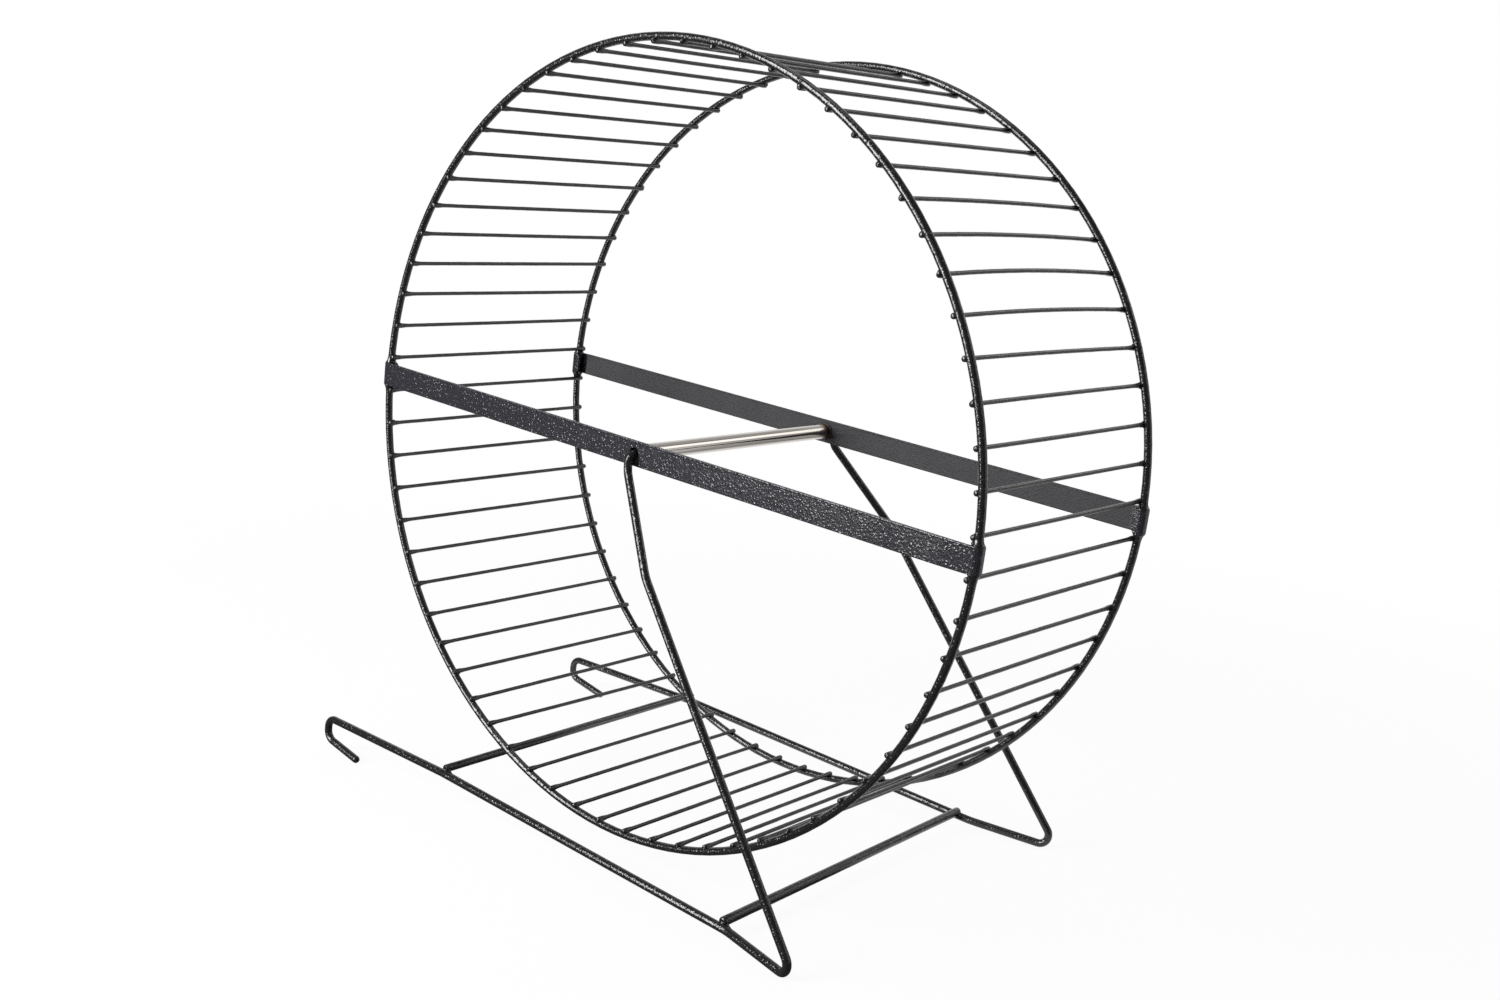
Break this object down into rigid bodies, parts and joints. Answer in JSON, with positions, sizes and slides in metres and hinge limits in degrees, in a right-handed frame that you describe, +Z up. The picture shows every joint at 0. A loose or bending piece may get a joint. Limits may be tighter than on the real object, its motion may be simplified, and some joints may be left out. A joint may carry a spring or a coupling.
{
  "type": "hamster wheel",
  "caption": "Open wire running wheel turning on a plated axle tube between the two legs of a wire stand, whose floor rails end in hooks for a cage wire.",
  "frame": {"origin": "on the floor, straight below the middle of the axle, midway between the two legs", "axes": "+X towards the feet, away from the hooks; +Y along the axle towards the back hoop; +Z up"},
  "size_m": [0.314, 0.1718, 0.3082],
  "materials": {
    "hoop_paint": "near-black hammered powder coat on round wire",
    "rung_paint": "near-black hammered powder coat, thin, on fine wire",
    "strap_paint": "charcoal hammered powder coat with small glossy dimples",
    "tube_plate": "bright nickel plate, brown heat tint beside the welds",
    "stand_paint": "near-black hammered powder coat on round wire"
  },
  "bodies": {
    "stand": {"front_stand_wire": "stand_paint", "back_stand_wire": "stand_paint", "front_cross_rod": "stand_paint", "rear_cross_rod": "stand_paint"},
    "wheel": {"front_hoop": "hoop_paint", "back_hoop": "hoop_paint", "front_crossbar": "strap_paint", "back_crossbar": "strap_paint", "axle_tube": "tube_plate", "rungs_01_02": "rung_paint", "rungs_03_04": "rung_paint", "rungs_05_06": "rung_paint", "rungs_07_08": "rung_paint", "rungs_09_10": "rung_paint", "rungs_11_12": "rung_paint", "rungs_13_14": "rung_paint", "rungs_15_16": "rung_paint", "rungs_17_18": "rung_paint", "rungs_19_20": "rung_paint", "rungs_21_22": "rung_paint", "rungs_23_24": "rung_paint", "rungs_25_26": "rung_paint", "rungs_27_28": "rung_paint", "rungs_29_30": "rung_paint", "rungs_31_32": "rung_paint", "rungs_33_34": "rung_paint", "rungs_35_36": "rung_paint", "rungs_37_38": "rung_paint", "rungs_39_40": "rung_paint", "rungs_41_42": "rung_paint", "rungs_43_44": "rung_paint", "rungs_45_46": "rung_paint", "rungs_47_48": "rung_paint", "rungs_49_50": "rung_paint", "rungs_51_52": "rung_paint", "rungs_53_54": "rung_paint", "rungs_55_56": "rung_paint", "rungs_57_58": "rung_paint", "rungs_59_60": "rung_paint", "rungs_61_62": "rung_paint", "rungs_63_64": "rung_paint", "rungs_65_66": "rung_paint"}
  },
  "joints": [
    {"name": "wheel_spin", "type": "hinge", "parent": "stand", "child": "wheel", "pos_m": [0, 0, 0.15823], "axis": [0, 1, 0], "continuous": true}
  ]
}
